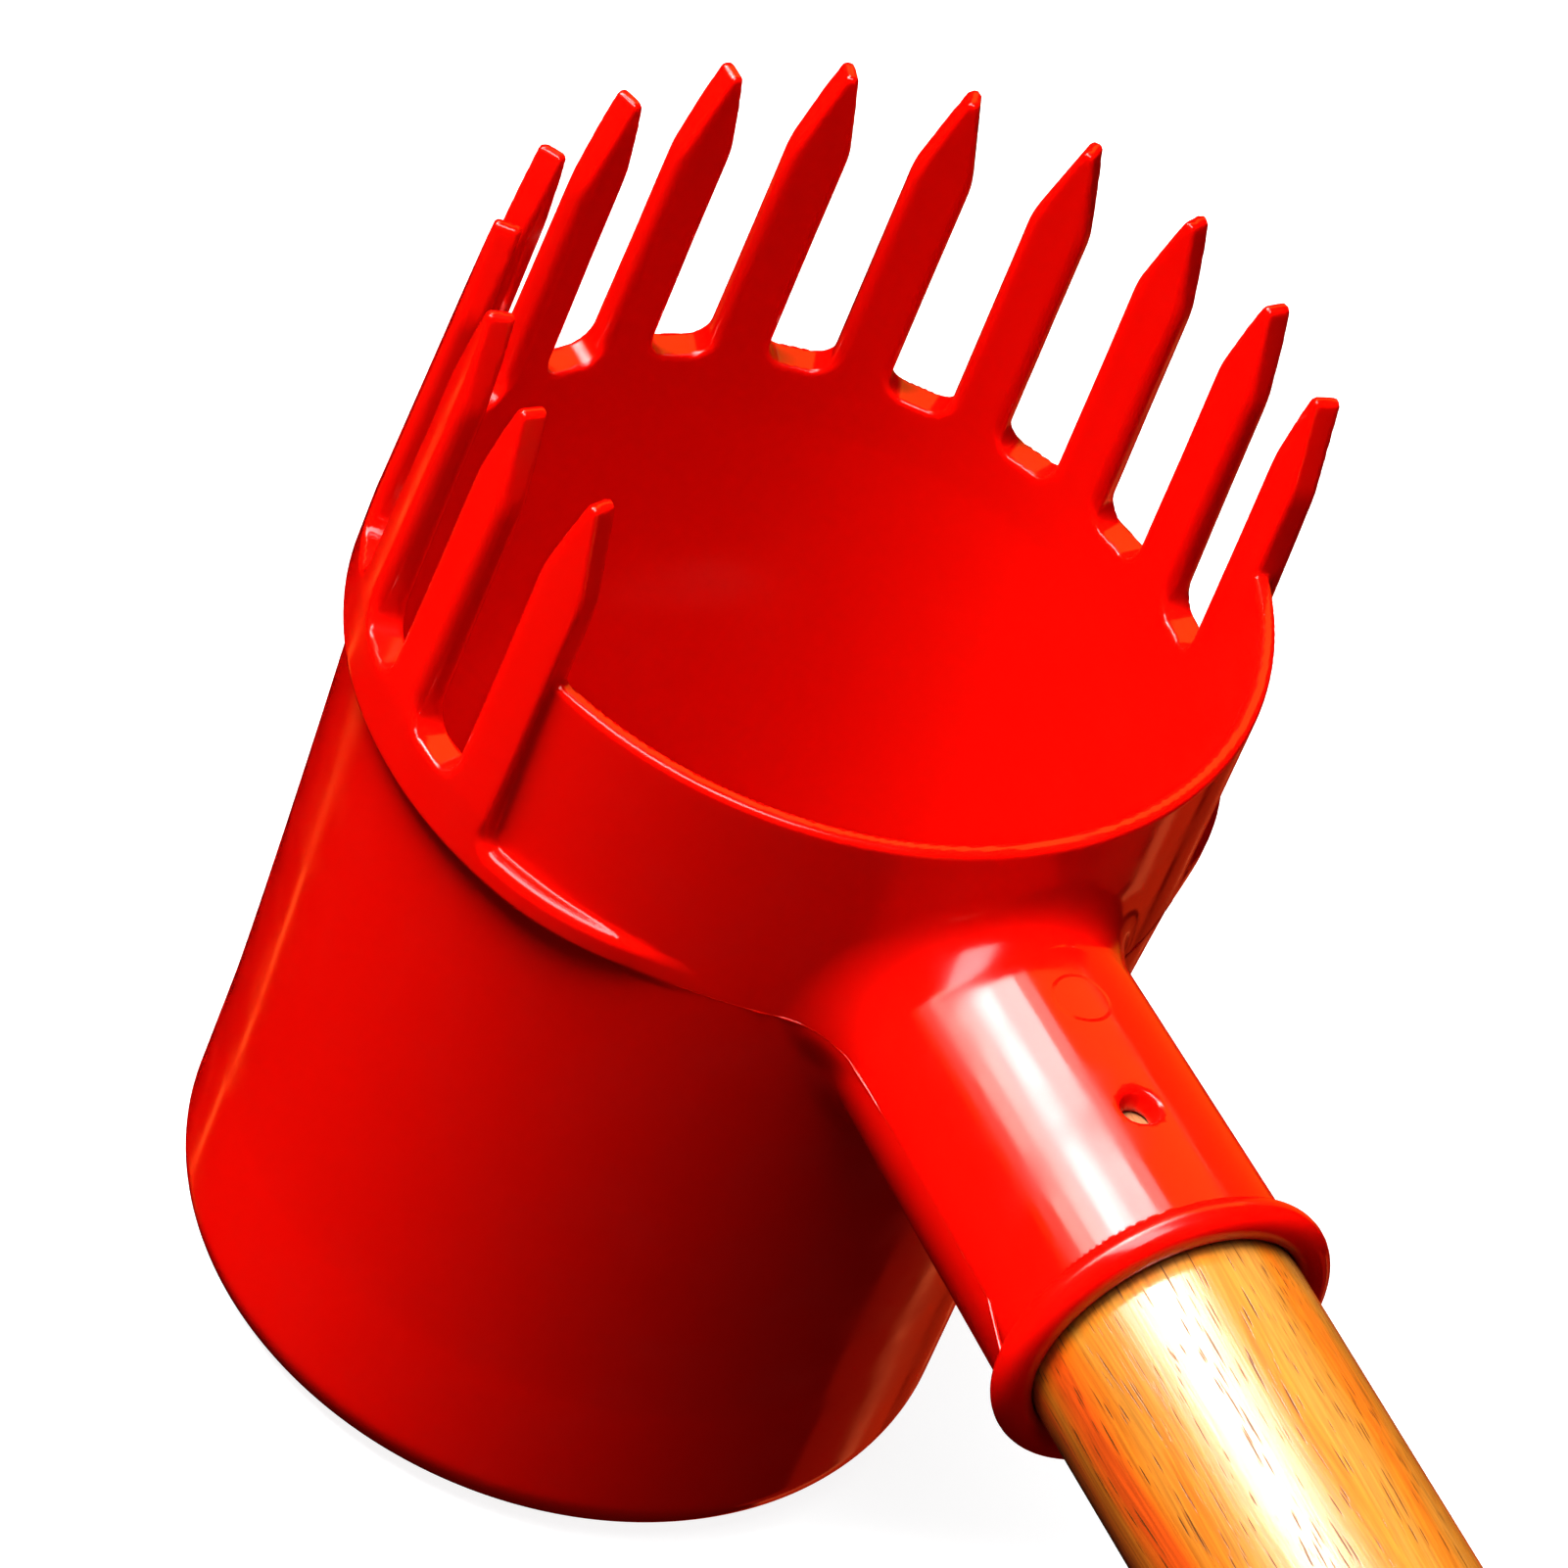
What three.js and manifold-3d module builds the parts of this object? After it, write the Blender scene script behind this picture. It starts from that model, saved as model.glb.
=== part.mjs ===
// Berry picking rake: a toothed cup that combs soft fruit off its stems, on a wooden pole.
// Millimetres, +Z up. The origin is the middle of the cup's underside, and +X runs from the
// cup's axis along the pole. The head is one red plastic moulding. It is drawn here as its
// features, a cup, a band, a wall, thirteen teeth and a socket, each a solid of its own.

import * as THREE from 'three';
import { mergeVertices } from 'three/addons/utils/BufferGeometryUtils.js';
import Module from 'manifold-3d';

const wasm = await Module();
wasm.setup();

// Cup
const cupHeight = 80.5; // from the underside to the band
const mouthRadius = 40.8; // inside the wall, at the mouth
const wall = 1.7;
const cupTaper = 2.3; // how much narrower the cup is at its base than at the band
const straightHeight = 24; // of the lower wall, which doesn't taper
const baseThickness = 2;
const baseRounding = 6; // round the base's outer edge

// Band round the mouth, where the teeth stand
const bandProud = 2; // how far it stands out from the wall
const bandHeight = 7; // under the gaps between the teeth
const ledgeHeight = 3.5; // beside the smooth wall
const bandEdge = 0.6; // bevel along its outer edges

// Teeth
const toothCount = 13;
const toothPitch = THREE.MathUtils.degToRad(17.4);
const toothWidth = 6.2;
const toothHeight = 39.2; // from the floor of a gap to the tip
const toothPoint = 10.5; // length of the sharpened end
const toothTipWidth = 1.2;
const toothTipThickness = 2.8;
const toothLean = 0.5; // how far its inner face leans in, at the tip
const toothFoot = 1.2; // hollow rounding where a tooth meets the floor of a gap

// Smooth wall on the pole's side
const wallHeight = 25; // from the band's underside to the rim
const rimRounding = 0.5;

// Pole
const poleRadius = 14;
const poleLength = 400;
const poleSeatTaper = 3; // how much thinner its inner end is than the free part
const poleInnerBevel = 1.5;
const poleEndRounding = 3;

// Socket
const socketRise = 0.5; // its axis above the band's underside
const socketReach = 83.4; // from the cup's axis to the front of the collar
const socketWall = 1.3; // at the collar, and thicker inwards, where the pole is thinner
const socketTaper = 0.6; // how much thinner the socket's outside is at the cup
const socketFloor = 1.5; // behind the pole's inner end
const collarRounding = 2; // radius of the collar's round section
const topFlare = 4.5; // hollow rounding into the wall, along the top of the socket
const sideFlare = 9; // the same, just above the parting line on either side
const lowerFlare = 3.5; // the same, below the parting line
const screwHoleRadius = 2.3;
const screwHoleSetback = 16.7; // from the collar's front to the hole's axis

// Clearances
const poleFit = 0.3; // round the pole, and behind its inner end
const seam = 0.3; // between features that meet on a curved face

const roundSteps = 72; // facets in a full turn of the cup
const toothFacets = 144; // facets in a full turn of the tooth ring
const socketSteps = 48; // facets in a full turn of the socket and the pole
const arcSteps = 6; // facets in a quarter round

// Places worked out from the sizes
const cutOverrun = wall;
const wallRadius = mouthRadius + wall;
const baseRadius = wallRadius - cupTaper;
const bandRadius = wallRadius + bandProud;
const ledgeTop = cupHeight + ledgeHeight;
const bandTop = cupHeight + bandHeight;
const rimTop = cupHeight + wallHeight;
const toothTop = bandTop + toothHeight;
const lastToothTurn = (toothCount - 1) / 2 * toothPitch; // from the middle tooth
const socketAxis = cupHeight + socketRise;
const boreEnd = bandRadius + seam + socketFloor;
const poleStart = boreEnd + poleFit;
const poleInnerRadius = poleRadius - poleSeatTaper;
const socketMouthRadius = poleRadius + poleFit + socketWall;
const socketRootRadius = socketMouthRadius - socketTaper;
const screwHoleReach = socketReach - screwHoleSetback;

const redPlastic = { color: 0xe01208, roughness: 0.22, metalness: 0 };
const varnishedWood = { color: 0xc9792f, roughness: 0.3, metalness: 0 };

// A closed geometry as a solid that can be cut and joined.
function solidOf(geometry) {
  const bare = geometry.clone();
  bare.deleteAttribute('normal');
  bare.deleteAttribute('uv');
  const merged = mergeVertices(bare);
  const corners = merged.index.array;
  const kept = [];
  for (let i = 0; i < corners.length; i += 3) {
    const [a, b, c] = corners.slice(i, i + 3);
    if (a !== b && b !== c && c !== a) kept.push(a, b, c);
  }
  const vertProperties = new Float32Array(merged.attributes.position.array);
  const triVerts = new Uint32Array(kept);
  return new wasm.Manifold(new wasm.Mesh({ numProp: 3, vertProperties, triVerts }));
}

function meshOf(name, solid, look) {
  const { vertProperties, triVerts } = solid.getMesh();
  const geometry = new THREE.BufferGeometry();
  geometry.setAttribute('position', new THREE.BufferAttribute(vertProperties, 3));
  geometry.setIndex(new THREE.BufferAttribute(triVerts, 1));
  geometry.computeVertexNormals();
  const mesh = new THREE.Mesh(geometry, new THREE.MeshStandardMaterial(look));
  mesh.name = name;
  return mesh;
}

// Points of a round stretch of an outline, from one angle to another.
function arc(centreX, centreY, radius, from, to, steps = arcSteps) {
  const points = [];
  for (let i = 0; i <= steps; i += 1) {
    const angle = from + (to - from) * i / steps;
    points.push([centreX + radius * Math.cos(angle), centreY + radius * Math.sin(angle)]);
  }
  return points;
}

// A turned solid: the outline is a list of [radius, height], anticlockwise.
function turned(outline, steps) {
  const points = outline.map(([radius, height]) => new THREE.Vector2(radius, height));
  return new THREE.LatheGeometry(points, steps);
}

function turnedUpright(outline, steps = roundSteps) {
  return solidOf(turned(outline, steps).rotateX(Math.PI / 2));
}

function turnedAlongPole(outline, steps = socketSteps) {
  const geometry = turned(outline, steps).rotateZ(-Math.PI / 2);
  return solidOf(geometry.translate(0, 0, socketAxis));
}

function cupSolid() {
  const innerRounding = baseRounding - wall;
  const innerBaseRadius = baseRadius - wall;
  const outer = arc(baseRadius - baseRounding, baseRounding, baseRounding, -Math.PI / 2, 0);
  const floorArc = arc(
    innerBaseRadius - innerRounding,
    baseThickness + innerRounding,
    innerRounding,
    0,
    -Math.PI / 2,
  );
  return turnedUpright([
    [0, 0],
    ...outer,
    [baseRadius, straightHeight],
    [wallRadius, cupHeight],
    [mouthRadius, cupHeight],
    [innerBaseRadius, straightHeight],
    ...floorArc,
    [0, baseThickness],
  ]);
}

// The toothed side of the mouth, seen from above, as a tall block. It ends at the outer
// sides of the two last teeth, or a gap beyond them.
function toothedSide(gap) {
  const turn = Math.PI - lastToothTurn;
  const reach = 3 * bandRadius;
  const corner = (toothWidth / 2 + gap) / Math.sin(turn);
  const far = [corner + reach * Math.cos(turn), reach * Math.sin(turn)];
  const shape = new THREE.Shape();
  shape.moveTo(corner, 0);
  shape.lineTo(far[0], far[1]);
  shape.lineTo(-reach, reach);
  shape.lineTo(-reach, -reach);
  shape.lineTo(far[0], -far[1]);
  shape.closePath();
  const depth = toothTop + 2 * cutOverrun;
  const block = new THREE.ExtrudeGeometry(shape, { depth, bevelEnabled: false });
  return solidOf(block.translate(0, 0, -cutOverrun));
}

function bandSolid() {
  const ring = (top) => turnedUpright([
    [mouthRadius, cupHeight],
    [bandRadius - bandEdge, cupHeight],
    [bandRadius, cupHeight + bandEdge],
    [bandRadius, top - bandEdge],
    [bandRadius - bandEdge, top],
    [mouthRadius, top],
    [mouthRadius, cupHeight],
  ]);
  const underTeeth = turnedUpright([
    [mouthRadius, cupHeight],
    [bandRadius - bandEdge, cupHeight],
    [bandRadius, cupHeight + bandEdge],
    [bandRadius, bandTop],
    [mouthRadius, bandTop],
    [mouthRadius, cupHeight],
  ]);
  return ring(ledgeTop).add(underTeeth.intersect(toothedSide(0)));
}

function smoothWallSolid() {
  const rim = [
    ...arc(wallRadius - rimRounding, rimTop - rimRounding, rimRounding, 0, Math.PI / 2, 2),
    ...arc(mouthRadius + rimRounding, rimTop - rimRounding, rimRounding, Math.PI / 2, Math.PI, 2),
  ];
  const ring = turnedUpright([
    [mouthRadius, ledgeTop],
    [wallRadius, ledgeTop],
    ...rim,
    [mouthRadius, ledgeTop],
  ]);
  return ring.subtract(toothedSide(seam));
}

// One tooth, pointing along +X. A foot is the hollow rounding on that side of its root.
function toothSolid(leftFoot, rightFoot) {
  const half = toothWidth / 2;
  const tip = toothTipWidth / 2;
  const shape = new THREE.Shape();
  shape.moveTo(-half - leftFoot, 0);
  if (leftFoot) shape.absarc(-half - leftFoot, leftFoot, leftFoot, -Math.PI / 2, 0, false);
  shape.lineTo(-half, toothHeight - toothPoint);
  shape.lineTo(-tip, toothHeight - tip);
  shape.absarc(0, toothHeight - tip, tip, Math.PI, 0, true);
  shape.lineTo(half, toothHeight - toothPoint);
  shape.lineTo(half, rightFoot);
  if (rightFoot) shape.absarc(half + rightFoot, rightFoot, rightFoot, Math.PI, 1.5 * Math.PI, false);
  shape.closePath();
  const depth = bandRadius - mouthRadius + 2 * cutOverrun;
  const options = { depth, bevelEnabled: false, curveSegments: arcSteps };
  const flat = new THREE.ExtrudeGeometry(shape, options);
  const sideways = new THREE.Matrix4().makeBasis(
    new THREE.Vector3(0, 1, 0),
    new THREE.Vector3(0, 0, 1),
    new THREE.Vector3(1, 0, 0),
  );
  flat.applyMatrix4(sideways).translate(mouthRadius - cutOverrun, 0, bandTop);
  const ring = turnedUpright([
    [mouthRadius, bandTop],
    [bandRadius, bandTop],
    [mouthRadius - toothLean + toothTipThickness, toothTop],
    [mouthRadius - toothLean, toothTop],
    [mouthRadius, bandTop],
  ], toothFacets);
  return solidOf(flat).intersect(ring);
}

// The hollow rounding between the socket's tube and the cup's wall, in a plane that holds
// the socket's axis and leans by the angle lean: [x, distance from the axis], wall first.
function flareOutline(lean, flare) {
  const across = Math.cos(lean);
  const wallX = (away) => Math.sqrt(wallRadius ** 2 - (away * across) ** 2);
  const outward = (away) => {
    const x = wallX(away);
    const y = away * across ** 2;
    const length = Math.hypot(x, y);
    return [x / length, y / length];
  };
  const centreAway = socketRootRadius + flare;
  let near = socketRootRadius;
  let far = centreAway;
  for (let i = 0; i < 40; i += 1) {
    const middle = (near + far) / 2;
    if (middle + flare * outward(middle)[1] < centreAway) near = middle;
    else far = middle;
  }
  const [normalX, normalAway] = outward(near);
  const centreX = wallX(near) + flare * normalX;
  const start = Math.atan2(-normalAway, -normalX);
  const end = start > 0 ? 1.5 * Math.PI : -Math.PI / 2;
  const turnEnd = Math.abs(end - start) > Math.PI ? end - 2 * Math.PI : end;
  return arc(centreX, centreAway, flare, start, turnEnd);
}

// The socket's outside as one closed skin of rings round its axis, from inside the cup's
// wall, over the flare and the tube, to the collar's round edge.
function socketSkin() {
  const roomAbove = rimTop - rimRounding - socketAxis - socketRootRadius;
  const collarCentre = socketReach - collarRounding;
  const collar = arc(collarCentre, socketMouthRadius, collarRounding, Math.PI, -Math.PI / 4, 2 * arcSteps);
  const rows = [];
  for (let j = 0; j < socketSteps; j += 1) {
    const lean = 2 * Math.PI * j / socketSteps;
    const sideways = Math.abs(Math.cos(lean));
    const upperFlare = THREE.MathUtils.lerp(Math.min(topFlare, roomAbove), sideFlare, sideways);
    const flare = Math.sin(lean) > -Number.EPSILON ? upperFlare : lowerFlare;
    const outline = flareOutline(lean, flare);
    const inside = [mouthRadius / 2, outline[0][1]];
    rows.push([inside, ...outline, ...collar].map(([x, away]) => [
      x,
      away * Math.cos(lean),
      socketAxis + away * Math.sin(lean),
    ]));
  }
  const rings = rows[0].length;
  const positions = rows.flat();
  const innerEnd = positions.length;
  const outerEnd = innerEnd + 1;
  positions.push([mouthRadius / 2, 0, socketAxis]);
  positions.push([rows[0][rings - 1][0], 0, socketAxis]);
  const faces = [];
  for (let j = 0; j < socketSteps; j += 1) {
    const here = j * rings;
    const next = (j + 1) % socketSteps * rings;
    for (let i = 0; i < rings - 1; i += 1) {
      faces.push(here + i, next + i + 1, here + i + 1);
      faces.push(here + i, next + i, next + i + 1);
    }
    faces.push(here, innerEnd, next);
    faces.push(here + rings - 1, next + rings - 1, outerEnd);
  }
  const geometry = new THREE.BufferGeometry();
  geometry.setAttribute('position', new THREE.Float32BufferAttribute(positions.flat(), 3));
  geometry.setIndex(faces);
  return solidOf(geometry);
}

// Everything of the head that the socket grows out of, a seam larger all round.
function headClearance() {
  const band = bandRadius + seam;
  return turnedUpright([
    [0, -cutOverrun],
    [baseRadius + seam, -cutOverrun],
    [baseRadius + seam, straightHeight],
    [wallRadius + seam, cupHeight - seam],
    [band, cupHeight - seam],
    [band, ledgeTop + seam],
    [wallRadius + seam, ledgeTop + seam],
    [wallRadius + seam, toothTop],
    [0, toothTop],
  ]);
}

// The pole's radius, which is thinner where it sits in the socket.
function poleRadiusAt(reach) {
  const share = THREE.MathUtils.clamp((reach - poleStart) / (socketReach - poleStart), 0, 1);
  return poleInnerRadius + poleSeatTaper * share;
}

function socketSolid() {
  const bore = turnedAlongPole([
    [0, boreEnd],
    [poleRadiusAt(boreEnd) + poleFit, boreEnd],
    [poleRadiusAt(socketReach) + poleFit, socketReach],
    [poleRadiusAt(socketReach) + poleFit, socketReach + cutOverrun],
    [0, socketReach + cutOverrun],
  ]);
  const screwTop = socketAxis + socketMouthRadius + collarRounding;
  const drill = new THREE.CylinderGeometry(
    screwHoleRadius,
    screwHoleRadius,
    screwTop - socketAxis,
    socketSteps / 2,
  );
  drill.rotateX(Math.PI / 2).translate(screwHoleReach, 0, (screwTop + socketAxis) / 2);
  return socketSkin().subtract(headClearance()).subtract(bore).subtract(solidOf(drill));
}

function poleSolid() {
  const end = poleStart + poleLength;
  const rounding = poleEndRounding;
  return turnedAlongPole([
    [0, poleStart],
    [poleInnerRadius - poleInnerBevel, poleStart],
    [poleRadiusAt(poleStart + poleInnerBevel), poleStart + poleInnerBevel],
    [poleRadius, socketReach],
    ...arc(poleRadius - rounding, end - rounding, rounding, 0, Math.PI / 2),
    [0, end],
  ]);
}

const rake = new THREE.Group();
rake.add(meshOf('cup', cupSolid(), redPlastic));
rake.add(meshOf('rim_band', bandSolid(), redPlastic));
rake.add(meshOf('smooth_wall', smoothWallSolid(), redPlastic));

for (let i = 0; i < toothCount; i += 1) {
  const leftFoot = i === 0 ? 0 : toothFoot;
  const rightFoot = i === toothCount - 1 ? 0 : toothFoot;
  const number = String(i + 1).padStart(2, '0');
  const tooth = meshOf(`tooth_${number}`, toothSolid(leftFoot, rightFoot), redPlastic);
  tooth.rotation.z = Math.PI - lastToothTurn + i * toothPitch;
  rake.add(tooth);
}

rake.add(meshOf('socket', socketSolid(), redPlastic));
rake.add(meshOf('pole', poleSolid(), varnishedWood));

export default rake;
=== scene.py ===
# %% [markdown]
# # Berry picking rake
# A picking rake reaches up into a bush on its pole. Its teeth comb along a twig, and its cup
# catches what comes off. This one is two parts: a glossy red plastic head, moulded in one
# shot, and a varnished wooden pole pushed into its socket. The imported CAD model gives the
# sizes and the place of everything. This script gives it its looks.

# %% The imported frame
import math

import bpy
import numpy as np
from mathutils import Matrix, Quaternion, Vector


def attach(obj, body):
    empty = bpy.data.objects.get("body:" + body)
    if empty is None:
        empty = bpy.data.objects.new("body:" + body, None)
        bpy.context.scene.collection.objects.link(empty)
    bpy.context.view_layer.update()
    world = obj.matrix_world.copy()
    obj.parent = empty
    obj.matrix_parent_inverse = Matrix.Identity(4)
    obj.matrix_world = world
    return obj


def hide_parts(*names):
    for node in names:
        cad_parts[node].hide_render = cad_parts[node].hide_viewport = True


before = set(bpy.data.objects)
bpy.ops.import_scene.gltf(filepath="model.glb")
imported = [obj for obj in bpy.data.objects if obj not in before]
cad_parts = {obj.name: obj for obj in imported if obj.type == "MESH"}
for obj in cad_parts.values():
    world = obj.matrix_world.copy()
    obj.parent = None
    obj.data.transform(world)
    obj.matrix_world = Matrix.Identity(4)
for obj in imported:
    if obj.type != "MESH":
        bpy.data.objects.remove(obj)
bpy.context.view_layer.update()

# %% [markdown]
# ## Camera
# A camera is a place, a direction and a roll. Here all three come from measuring the rake in
# the picture, and a long lens keeps the teeth nearly parallel. The picture is cut close, so
# the pole runs out of it.

# %% Camera
MM = 0.001
camera_data = bpy.data.cameras.new("camera")
camera_data.lens = 251.5
camera_data.sensor_width = 36
camera_data.clip_end = 100
camera = bpy.data.objects.new("camera", camera_data)
bpy.context.scene.collection.objects.link(camera)
bpy.context.scene.camera = camera

camera.location = Vector((578.4, -540.05, 798.1)) * MM
camera_target = Vector((2.2, 2.4, 71.1)) * MM
camera_roll = math.radians(23.34)
sight = camera_target - camera.location
camera.rotation_mode = "QUATERNION"
camera.rotation_quaternion = sight.to_track_quat("-Z", "Y") @ Quaternion((0, 0, 1), camera_roll)
print("camera is", round(sight.length, 3), "m from the cup")

# %% [markdown]
# ## Small helpers
# Colours are written as the hex values that a screen shows. Shaders work in linear light, so
# one function turns them. Another adds a node, sets it and links it in one line, so that a
# material reads like a recipe.


# %% Helpers for materials
def linear(hex_colour):
    """The linear RGBA colour of an sRGB hex value such as 'c9792f'."""
    levels = [int(hex_colour[i:i + 2], 16) / 255 for i in (0, 2, 4)]
    return [v / 12.92 if v <= 0.04045 else ((v + 0.055) / 1.055) ** 2.4 for v in levels] + [1]


def add_node(tree, kind, settings=None, **links):
    """A new node. Settings are its own options. Links are its inputs: a value or a socket."""
    node = tree.nodes.new(kind)
    for name, value in (settings or {}).items():
        setattr(node, name, value)
    for name, value in links.items():
        key = int(name[3:]) if name.startswith("in_") else name.replace("_", " ")
        socket = node.inputs[key]
        if isinstance(value, bpy.types.NodeSocket):
            tree.links.new(value, socket)
        else:
            socket.default_value = value
    return node


def new_material(name):
    """A material with its tree and its Principled shader."""
    material = bpy.data.materials.new(name)
    material.use_nodes = True
    return material, material.node_tree, material.node_tree.nodes["Principled BSDF"]


print("red 'c20501' in linear light", [round(v, 3) for v in linear("c20501")])

# %% [markdown]
# ## The head as one field
# The real head comes out of its mould as one piece, so every inside corner is hollow and
# every edge is a little round. Joining separate meshes would leave hard seams. Bevels on
# booleans would break where the tube, the wall and the band all meet. So the head is written
# as a field: a function that gives, for any point, how far it is outside the plastic. Fields
# can be joined and cut with a radius, as a mould maker would do it.


# %% Joining and cutting with a radius
def both(a, b, radius):
    """Inside both shapes, with the edge between them rounded."""
    flat = np.minimum(np.maximum(a, b), -radius)
    return flat + np.hypot(np.maximum(a + radius, 0), np.maximum(b + radius, 0))


def either(a, b, radius):
    """Inside either shape, with the corner between them filled to a hollow."""
    flat = np.maximum(np.minimum(a, b), radius)
    return flat - np.hypot(np.maximum(radius - a, 0), np.maximum(radius - b, 0))


def rolled(a, b, cosine, radius):
    """Inside either shape. A ball of this radius, rolled along the corner, leaves the hollow.

    cosine is that of the angle between the two surfaces' directions."""
    u, v = radius - a, radius - b
    between = (u > cosine * v) & (v > cosine * u)
    reach = np.sqrt(np.maximum(u * u + v * v - 2 * u * v * cosine, 0) / (1 - cosine ** 2))
    return np.where(between, radius - reach, np.minimum(a, b))


def blended(a, b, width):
    """Inside both shapes, where they meet at so flat an angle that a radius would do little."""
    return np.maximum(a, b) + np.maximum(width - np.abs(a - b), 0) ** 2 / (4 * width)


def eased(value, start, end):
    """0 before start, 1 after end, and smooth in between."""
    share = np.clip((value - start) / (end - start), 0, 1)
    return share * share * (3 - 2 * share)


filled = float(either(0.5, 0.5, 2.0))
print("0.5 mm off two walls that are joined with radius 2:", round(filled, 2))

# %% [markdown]
# ### Sizes
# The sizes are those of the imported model, in millimetres. Heights are measured from the
# cup's underside, and distances along the pole from the cup's axis.

# %% Sizes of the head and the pole
CUP_HEIGHT = 80.5  # up to the band
MOUTH, WALL = 40.8, 1.7  # radius inside the mouth, and the wall's thickness
TAPER = 2.3  # how much narrower the cup is at its base
STRAIGHT_HEIGHT = 20.0  # below this the wall is straight
FLOOR, BASE_ROUNDING = 2.0, 6.0
WALL_RADIUS = MOUTH + WALL
BAND_RADIUS = WALL_RADIUS + 2.0
LEDGE_TOP = CUP_HEIGHT + 3.5  # the band's top beside the smooth wall
BAND_TOP = CUP_HEIGHT + 7.0  # the floor of the gaps between the teeth
RIM_TOP = CUP_HEIGHT + 25.0  # the smooth wall's rim
TEETH, PITCH = 13, math.radians(17.4)
TOOTH_WIDTH, TOOTH_TOP = 6.2, BAND_TOP + 39.2
TOOTH_POINT = 10.5  # length of the sharpened end
TIP_WIDTH, TIP_THICKNESS = 1.2, 2.8
LEAN = 0.5  # how far a tooth's inner face leans in at its tip
LAST_TOOTH = math.pi - (TEETH - 1) / 2 * PITCH  # measured from the pole's side
AXIS = CUP_HEIGHT + 0.5  # height of the socket's axis
SOCKET_END, SOCKET_RADIUS = 83.4, 15.6  # both at the collar
SOCKET_TAPER = 0.6  # how much thinner the socket is at the cup
COLLAR = 2.0  # radius of the collar's round section
BORE_END, POLE_START, POLE_END = 46.3, 46.6, 446.6
POLE_RADIUS = 14.0
POLE_TAPER = 3.0  # how much thinner the pole is at its inner end
FIT = 0.08  # room round the pole
HOLE_X, HOLE_RADIUS = SOCKET_END - 16.7, 2.15
print("last tooth at", round(math.degrees(LAST_TOOTH), 1), "degrees from the pole")

# %% [markdown]
# ### Cup and crown
# The cup is a bucket that widens towards its mouth. The crown is the band and the teeth.
# Teeth cut out of a ring would be wedges, and the real ones have parallel sides. So each
# tooth is a flat picket with a hollow foot, set square to the wall at its own angle, and the
# whole fence is then cut off at an outer radius. At both ends the band sinks into the wall.

# %% The cup and the crown
EDGE = 0.45  # radius of the band's top edge and the tips
LEDGE_EDGE = 1.15  # of the ledge's outer edge
TOOTH_EDGES = [1.35, 1.2, 0.5]  # of a tooth's long edges, at these depths below its tip:
TOOTH_DEPTHS = [22, 11, 4]
FOOT = 1.9  # of the hollow where a tooth stands on the band
LOWER_EDGE = 0.8  # of the band's lower edge
POINT_BEND = 0.3  # softens the bend where a tooth's sides turn in to its point
BAND_SINKS = 4.3  # how deep the band lies at the first of these angles from the pole:
BAND_ENDS = math.radians(17), math.radians(66)  # from the second one on it isn't sunk


def cup_radius(z):
    share = np.clip((z - STRAIGHT_HEIGHT) / (CUP_HEIGHT - STRAIGHT_HEIGHT), 0, 1)
    return WALL_RADIUS - TAPER + TAPER * share ** 1.25


def tooth_edge(z, turn):
    """The rounding of a tooth's long edges: full at its root, and crisp at its point."""
    on_teeth = eased(turn, LAST_TOOTH - 0.01, LAST_TOOTH + 0.03) * eased(z, BAND_TOP, BAND_TOP + 3)
    along = np.interp(z, [TOOTH_TOP - depth for depth in TOOTH_DEPTHS], TOOTH_EDGES)
    return EDGE + on_teeth * (along - EDGE)


def tooth_share(z):
    """How far up the teeth a height is: 0 at the floor of the gaps and 1 at the tips."""
    return np.clip((z - BAND_TOP) / (TOOTH_TOP - BAND_TOP), 0, 1)


def crown_field(r, z, turn, back):
    """The band and the teeth. turn is the angle from the pole, and back from the middle tooth."""
    nearest = np.clip(np.round(back / PITCH), -(TEETH // 2), TEETH // 2)
    across = r * np.sin(back - nearest * PITCH)
    beyond = (np.abs(nearest) == TEETH // 2) & (across * nearest > 0)
    floor = z - np.where(beyond, LEDGE_TOP, BAND_TOP)
    flank = np.abs(across) - TOOTH_WIDTH / 2
    lean = math.atan2((TOOTH_WIDTH - TIP_WIDTH) / 2, TOOTH_POINT)
    slant = flank * math.cos(lean) + (z - TOOTH_TOP + TOOTH_POINT) * math.sin(lean)
    picket = both(blended(flank, slant, POINT_BEND), z - TOOTH_TOP, EDGE)
    fence = either(picket, floor, FOOT)
    thin = (BAND_RADIUS - MOUTH - TIP_THICKNESS + LEAN) * tooth_share(z)
    sunk = BAND_SINKS * (1 - eased(turn, *BAND_ENDS))
    ledge_edge = np.interp(z, [LEDGE_TOP, BAND_TOP], [LEDGE_EDGE, EDGE])
    edge = np.where(z > BAND_TOP, tooth_edge(z, turn), ledge_edge)
    crown = both(fence, r - BAND_RADIUS + thin + sunk, edge)
    return both(crown, CUP_HEIGHT - z, LOWER_EDGE)


tip_edge, root_edge = tooth_edge(np.array([TOOTH_TOP, BAND_TOP + 10]), np.full(2, math.pi))
print("edges of a tooth: root", round(root_edge, 2), "mm, tip", round(tip_edge, 2), "mm")

# %% [markdown]
# ### Socket
# The socket is a tube that meets the wall in a flare. A bevel would make the flare equally
# wide all round, but the real one is tight along its top, wide at its sides, and small under
# the line where the two halves of the mould meet. So a ball whose size changes on its way is
# rolled along the corner. A round bead makes the collar at the tube's mouth.

# %% The socket
TOP_FLARE, SIDE_FLARE, LOWER_FLARE = 4.5, 9.0, 3.5
LOWER_FLARE_DEPTH = 6  # this far below the axis the flare has come down to its lower radius
COLLAR_CORNER = 0.35  # of the hollow between the tube and the collar's bead


def pole_radius(x):
    return POLE_RADIUS - POLE_TAPER * np.clip((SOCKET_END - x) / (SOCKET_END - POLE_START), 0, 1)


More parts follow.
